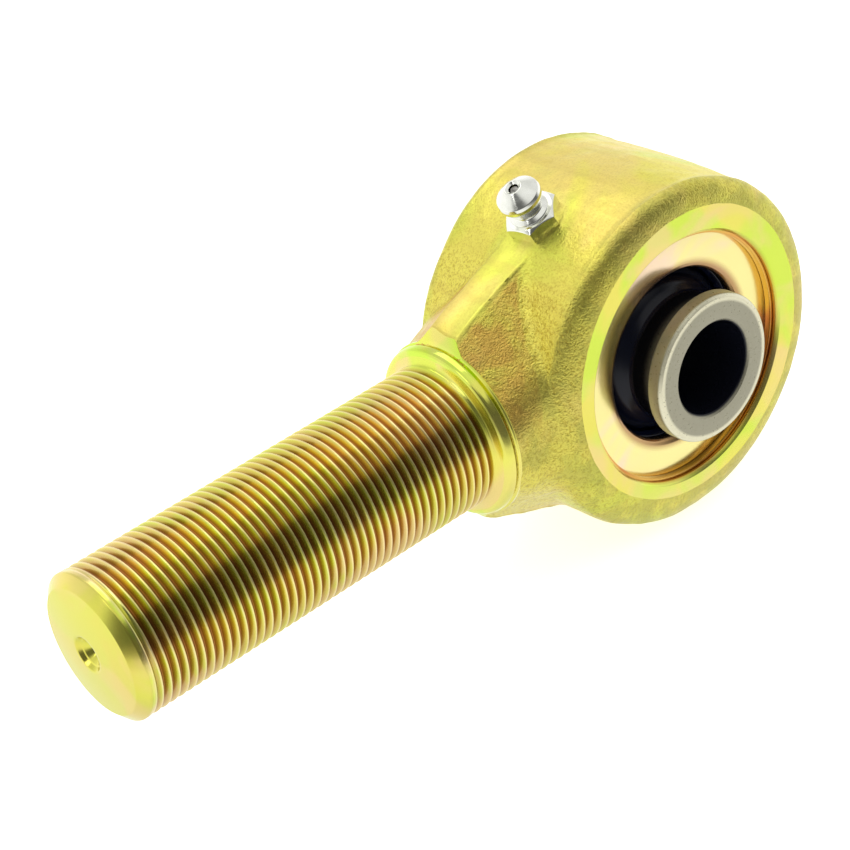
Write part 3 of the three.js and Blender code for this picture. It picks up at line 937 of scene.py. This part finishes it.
def mat_machined(name="machined_zinc", axis="Y", rough0=0.2, rough1=0.3, green=0.55, pink=0.5, bump=0.12, groove=False, base=None, tint=None, recess=False, hole_edge_shade=False):
    m = Mat(name)
    c = zinc_colour(m, 75.0, green, pink, base or YELLOW, tint or PINK)
    sep = m.n("ShaderNodeSeparateXYZ")
    m.link(m.obj(), sep.inputs[0])
    if axis == "Y":
        u, v, w = sep.outputs[0], sep.outputs[2], sep.outputs[1]
    else:
        u, v, w = sep.outputs[1], sep.outputs[2], sep.outputs[0]
    rad = m.math("SQRT", m.math("ADD", m.math("MULTIPLY", u, u), m.math("MULTIPLY", v, v)))
    key = m.math("ADD", m.math("MULTIPLY", rad, 9000.0), m.math("MULTIPLY", w, 9000.0))
    line = m.n("ShaderNodeTexNoise", noise_dimensions="1D")
    line.inputs["Scale"].default_value = 1.0
    line.inputs["Detail"].default_value = 3
    m.link(key, line.inputs["W"])
    if groove:
        # painted shade: browner colour down in the thread's roots
        root_shade = m.maprange(rad, (MAJOR_R - THREAD_DEPTH) * MM, (MAJOR_R - 0.04) * MM, 1.0, 0.0)
        c = m.mix(m.math("MULTIPLY", m.math("POWER", root_shade, 0.8), 0.95), c, srgb(160, 102, 52))
        # painted highlight: pale lines along the thread crests
        top = m.math("MULTIPLY", m.maprange(rad, (MAJOR_R - 0.14) * MM, (MAJOR_R - 0.02) * MM, 0.0, 1.0), m.maprange(rad, (MAJOR_R + 0.03) * MM, (MAJOR_R + 0.1) * MM, 1.0, 0.0))
        top = m.math("MULTIPLY", top, m.math("MULTIPLY", m.maprange(w, -0.0364, -0.0368, 0, 1), m.maprange(w, -0.0960, -0.0955, 0, 1)))
        c = m.mix(m.math("MULTIPLY", top, 0.55), c, srgb(255, 232, 186))
    if recess:
        # browner plating and painted shade on the walls of the recess and in the bore
        inner = m.maprange(m.math("ABSOLUTE", w), 0.01545, 0.0150, 0.0, 0.8)
        c = m.mix(inner, c, srgb(206, 140, 66))
    if hole_edge_shade:
        # painted shadow and reflection: red-brown round the edge of the washer's hole
        lip = m.maprange(rad, 0.0137, 0.0152, 0.75, 0.0, True)
        c = m.mix(lip, c, srgb(160, 100, 72))
    micro = m.noise(2500.0, 3, 0.5)
    h = m.math("ADD", m.math("MULTIPLY", line.outputs["Fac"], 0.8), m.math("MULTIPLY", micro, 0.25))
    nrm = m.bump(h, bump, 0.0001)
    rough = m.maprange(m.noise(160.0, 3, 0.5), 0.3, 0.7, rough0, rough1)
    return m.set(Base_Color=c, Metallic=0.95, Roughness=rough, Normal=nrm)


def mat_ball():
    m = Mat("ball_steel")
    sep = m.n("ShaderNodeSeparateXYZ")
    m.link(m.obj(), sep.inputs[0])
    x, y, z = sep.outputs
    r2 = m.math("ADD", m.math("MULTIPLY", x, x), m.math("MULTIPLY", z, z))
    rad = m.math("SQRT", r2)
    dist = m.math("SQRT", m.math("ADD", r2, m.math("MULTIPLY", y, y)))
    ay = m.math("ABSOLUTE", y)
    on_sphere = m.math("MULTIPLY", m.maprange(dist, 0.0163, 0.01655, 1, 0, True), m.maprange(rad, 0.0085, 0.0090, 0, 1))
    bore_shade_mask = m.maprange(rad, 0.00725, 0.00745, 1, 0)
    line = m.n("ShaderNodeTexNoise", noise_dimensions="1D")
    line.inputs["Scale"].default_value = 1.0
    line.inputs["Detail"].default_value = 3
    m.link(m.math("ADD", m.math("MULTIPLY", rad, 7000.0), m.math("MULTIPLY", ay, 7000.0)), line.inputs["W"])
    grain = m.noise(2200.0, 4, 0.6)
    steel = m.ramp(m.math("ADD", m.math("MULTIPLY", grain, 0.6), m.math("MULTIPLY", line.outputs["Fac"], 0.4)), [(0.3, srgb(222, 217, 184)), (0.7, srgb(240, 235, 206))])
    # painted shade: the collar's turned side is coloured darker than its end face
    side = m.math("MULTIPLY", m.maprange(rad, 0.01118, 0.01128, 0, 1), m.maprange(ay, 0.0199, 0.0201, 1, 0))
    steel = m.mix(m.math("MULTIPLY", side, 0.8), steel, srgb(160, 154, 122))
    dark = srgb(10, 14, 30)
    # painted shade: the neck in the undercut is coloured near-black, fading out towards the collar of the ball
    under = m.math("MULTIPLY", m.maprange(rad, 0.0101, 0.0105, 1, 0), m.maprange(ay, 0.0150, 0.0179, 1, 0.55, True))
    steel = m.mix(under, steel, srgb(26, 26, 30))
    c = m.mix(on_sphere, steel, dark)
    # painted shade: the ball's bore is coloured near-black and made non-metallic
    c = m.mix(bore_shade_mask, c, srgb(16, 18, 28))
    rough = m.maprange(grain, 0.3, 0.7, 0.26, 0.36)
    rough = m.math("MULTIPLY", rough, m.maprange(on_sphere, 0, 1, 1.0, 0.6))
    h = m.math("ADD", m.math("MULTIPLY", line.outputs["Fac"], 0.5), m.math("MULTIPLY", grain, 0.5))
    nrm = m.bump(h, 0.04, 0.0001)
    metal = m.math("SUBTRACT", 0.6, m.math("MULTIPLY", m.math("MAXIMUM", on_sphere, bore_shade_mask), 0.6))
    m.b.inputs["Specular IOR Level"].default_value = 0.25
    return m.set(Base_Color=c, Metallic=metal, Roughness=rough, Normal=nrm)


def mat_race():
    m = Mat("race_black")
    g = m.noise(900.0, 4, 0.6)
    m.b.inputs["Specular IOR Level"].default_value = 0.4
    c = m.ramp(g, [(0.3, srgb(11, 17, 42)), (0.7, srgb(24, 33, 66))])
    rough = m.maprange(m.noise(300.0, 3), 0.3, 0.7, 0.14, 0.24)
    nrm = m.bump(g, 0.08, 0.0001)
    return m.set(Base_Color=c, Metallic=0.0, Roughness=rough, Normal=nrm)


def mat_bright():
    m = Mat("bright_plate")
    g = m.noise(700.0, 3, 0.5)
    c = m.ramp(g, [(0.3, srgb(232, 233, 222)), (0.7, srgb(246, 247, 238))])
    rough = m.maprange(m.noise(1400.0, 3), 0.3, 0.7, 0.10, 0.2)
    nrm = m.bump(m.noise(1800.0, 3), 0.06, 0.0001)
    return m.set(Base_Color=c, Metallic=1.0, Roughness=rough, Normal=nrm)


def mat_inside():
    m = Mat("fitting_inside")
    g = m.noise(1200.0, 3, 0.5)
    c = m.ramp(g, [(0.3, srgb(120, 118, 112)), (0.7, srgb(170, 168, 160))])
    return m.set(Base_Color=c, Metallic=1.0, Roughness=m.maprange(g, 0.3, 0.7, 0.25, 0.4))


FORGED = mat_forged()
MACHINED = mat_machined(rough0=0.15, rough1=0.22, green=0.8, pink=0.6, bump=0.05, recess=True)
SHANK = mat_machined("shank_zinc", axis="X", rough0=0.12, rough1=0.2, green=0.22, pink=0.35, bump=0.06, base=srgb(228, 216, 96))
THREAD = mat_machined("thread_zinc", axis="X", rough0=0.13, rough1=0.2, green=0.55, pink=0.6, bump=0.05, groove=True)
COLLAR = mat_machined("collar_zinc", axis="X", rough0=0.07, rough1=0.12, green=1.0, pink=0.35, bump=0.03, base=srgb(232, 232, 100))
WASHER = mat_machined("washer_zinc", axis="Y", rough0=0.14, rough1=0.2, green=0.0, pink=0.9, bump=0.03, base=srgb(254, 240, 160), tint=srgb(255, 226, 196), hole_edge_shade=True)
# the retaining rings are coloured browner orange than the other plated parts: browner plating and painted shade of the
# recess they sit in
SNAP = mat_machined("ring_zinc", axis="Y", rough0=0.12, rough1=0.2, green=0.1, pink=0.7, bump=0.04, base=srgb(228, 172, 88), tint=srgb(196, 116, 62))
BALL = mat_ball()
RACE = mat_race()
BRIGHT = mat_bright()
INSIDE = mat_inside()

# ------------------------------------------------------------------ what each piece stands for and rides on
PIECES = [
    (skin, FORGED, "housing", ["housing"], "plated_forging"),
    (bore, MACHINED, "housing", ["housing"], "plated_forging"),
    (thread, THREAD, "housing", ["housing"], "plated_forging"),
    (tip, SHANK, "housing", ["housing"], "plated_forging"),
    (collar, COLLAR, "housing", ["housing"], "plated_forging"),
    (ball, BALL, "ball", ["ball"], "ball_steel"),
    (front_race, RACE, "races", ["front_bushing"], "race_polymer"),
    (rear_race, RACE, "races", ["rear_bushing"], "race_polymer"),
    (front_washer, WASHER, "housing", ["front_washer"], "plated_washer"),
    (rear_washer, WASHER, "housing", ["rear_washer"], "plated_washer"),
    (front_ring, SNAP, "housing", ["front_retaining_ring"], "plated_ring"),
    (rear_ring, SNAP, "housing", ["rear_retaining_ring"], "plated_ring"),
    (fit_body, BRIGHT, "housing", ["grease_fitting"], "bright_nickel"),
    (fit_hex, BRIGHT, "housing", ["grease_fitting"], "bright_nickel"),
    (fit_check, INSIDE, "check_ball", ["grease_check_ball"], "fitting_insides"),
    (fit_spring, INSIDE, "housing", ["grease_spring"], "fitting_insides"),
]
for obj, mat, body, nodes, slot in PIECES:
    obj.data.materials.clear()
    obj.data.materials.append(mat)
    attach(obj, body)
    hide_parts(*nodes)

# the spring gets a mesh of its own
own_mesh(fit_spring)

# ------------------------------------------------------------------ floor, light, camera
FLOOR_Z = -0.0277


def floor():
    n = 40
    verts, faces = [], []
    size = 3.0
    for j in range(n + 1):
        for i in range(n + 1):
            verts.append(((i / n - 0.5) * size, (j / n - 0.5) * size, FLOOR_Z))
    for j in range(n):
        for i in range(n):
            a = j * (n + 1) + i
            faces.append((a, a + 1, a + n + 2, a + n + 1))
    obj = new_object("floor", verts, faces)
    m = Mat("floor_pale")
    g = m.noise(6.0, 2, 0.5)
    c = m.ramp(g, [(0.3, srgb(246, 246, 246)), (0.7, srgb(250, 250, 250))])
    m.b.inputs["Emission Color"].default_value = (1, 1, 1, 1)
    m.b.inputs["Emission Strength"].default_value = 0.72
    obj.data.materials.append(m.set(Base_Color=c, Roughness=0.85))
    obj.visible_glossy = False
    return obj


floor()


def area(name, loc, target, size, power, colour=(1, 1, 1), size_y=None):
    light = bpy.data.lights.new(name, "AREA")
    light.energy = power
    light.color = colour
    if size_y:
        light.shape = "RECTANGLE"
        light.size_y = size_y
    light.size = size
    o = bpy.data.objects.new(name, light)
    o.location = loc
    d = Vector(target) - Vector(loc)
    o.rotation_euler = d.to_track_quat("-Z", "Y").to_euler()
    bpy.context.scene.collection.objects.link(o)
    return o


area("key", (-0.75, 0.05, 0.55), (-0.03, 0, 0), 0.30, 0.5)
area("top", (0.05, 0.35, 0.95), (-0.02, 0, 0), 0.8, 1.5)


def surroundings():
    """White sweep all round, with the unlit room behind the lens as the one dark side."""
    world = bpy.data.worlds.new("studio")
    bpy.context.scene.world = world
    world.use_nodes = True
    nt = world.node_tree
    nt.nodes.clear()

    def math(op, a, b=None):
        m = nt.nodes.new("ShaderNodeMath")
        m.operation = op
        for i, v in enumerate((a, b)):
            if v is None:
                continue
            if isinstance(v, (int, float)):
                m.inputs[i].default_value = v
            else:
                nt.links.new(v, m.inputs[i])
        return m.outputs[0]

    def ramp(fac, stops):
        r = nt.nodes.new("ShaderNodeValToRGB")
        r.color_ramp.interpolation = "EASE"
        while len(r.color_ramp.elements) < len(stops):
            r.color_ramp.elements.new(0.5)
        for e, (el, v) in zip(r.color_ramp.elements, stops):
            e.position = (math_sin(el) + 1) / 2
            e.color = (v, v, v, 1)
        nt.links.new(fac, r.inputs["Fac"])
        return r.outputs["Color"]

    def math_sin(el):
        import math as m
        return m.sin(m.radians(el))

    out = nt.nodes.new("ShaderNodeOutputWorld")
    bg = nt.nodes.new("ShaderNodeBackground")
    nt.links.new(bg.outputs[0], out.inputs[0])
    tc = nt.nodes.new("ShaderNodeTexCoord")
    sp = nt.nodes.new("ShaderNodeSeparateXYZ")
    nt.links.new(tc.outputs["Generated"], sp.inputs[0])
    x, y, z = sp.outputs
    h = math("SQRT", math("ADD", math("MULTIPLY", x, x), math("MULTIPLY", y, y)))
    f = math("ADD", math("MULTIPLY", x, -0.342), math("MULTIPLY", y, -0.940))
    h = math("DIVIDE", f, math("MAXIMUM", h, 1e-4))
    mr = nt.nodes.new("ShaderNodeMapRange")
    mr.interpolation_type = "SMOOTHSTEP"
    mr.inputs["From Min"].default_value = 0.05
    mr.inputs["From Max"].default_value = 0.5
    nt.links.new(h, mr.inputs["Value"])
    zz = math("MULTIPLY", math("ADD", z, 1.0), 0.5)
    front = ramp(zz, [(-90, 0.95), (-50, 1.08), (-30, 1.1), (-19, 0.9), (-8, 0.32), (0, 0.14), (25, 0.11), (38, 0.16), (52, 0.85), (90, 0.95)])
    back = ramp(zz, [(-90, 0.9), (-50, 1.02), (-20, 1.2), (0, 1.2), (16, 1.0), (32, 0.8), (60, 0.8), (90, 0.95)])
    mx = nt.nodes.new("ShaderNodeMix")
    mx.data_type = "RGBA"
    nt.links.new(mr.outputs["Result"], mx.inputs[0])
    nt.links.new(back, mx.inputs[6])
    nt.links.new(front, mx.inputs[7])
    nt.links.new(mx.outputs[2], bg.inputs["Color"])
    bg.inputs["Strength"].default_value = 1.0


surroundings()

cam = bpy.data.cameras.new("camera")
cam.sensor_width = 36.0
cam.lens = 2395.3 / 850 * 36.0
cam.clip_start = 0.01
cam.clip_end = 20
co = bpy.data.objects.new("camera", cam)
right = Vector((0.735263, -0.660951, -0.149919))
down = Vector((-0.450629, -0.311509, -0.836660))
fwd = Vector((0.5063, 0.6827, -0.5269))
mw = Matrix.Identity(4)
for i, v in enumerate((right, -down, -fwd)):
    v = v.normalized()
    for j in range(3):
        mw[j][i] = v[j]
mw[0][3], mw[1][3], mw[2][3] = -0.21001, -0.23190, 0.18216
co.matrix_world = mw
bpy.context.scene.collection.objects.link(co)
bpy.context.scene.camera = co

bpy.context.scene.view_settings.view_transform = "Standard"
bpy.context.scene.view_settings.look = "None"
bpy.context.scene.view_settings.exposure = 0.0
bpy.context.scene.view_settings.gamma = 1.0

bpy.context.view_layer.update()
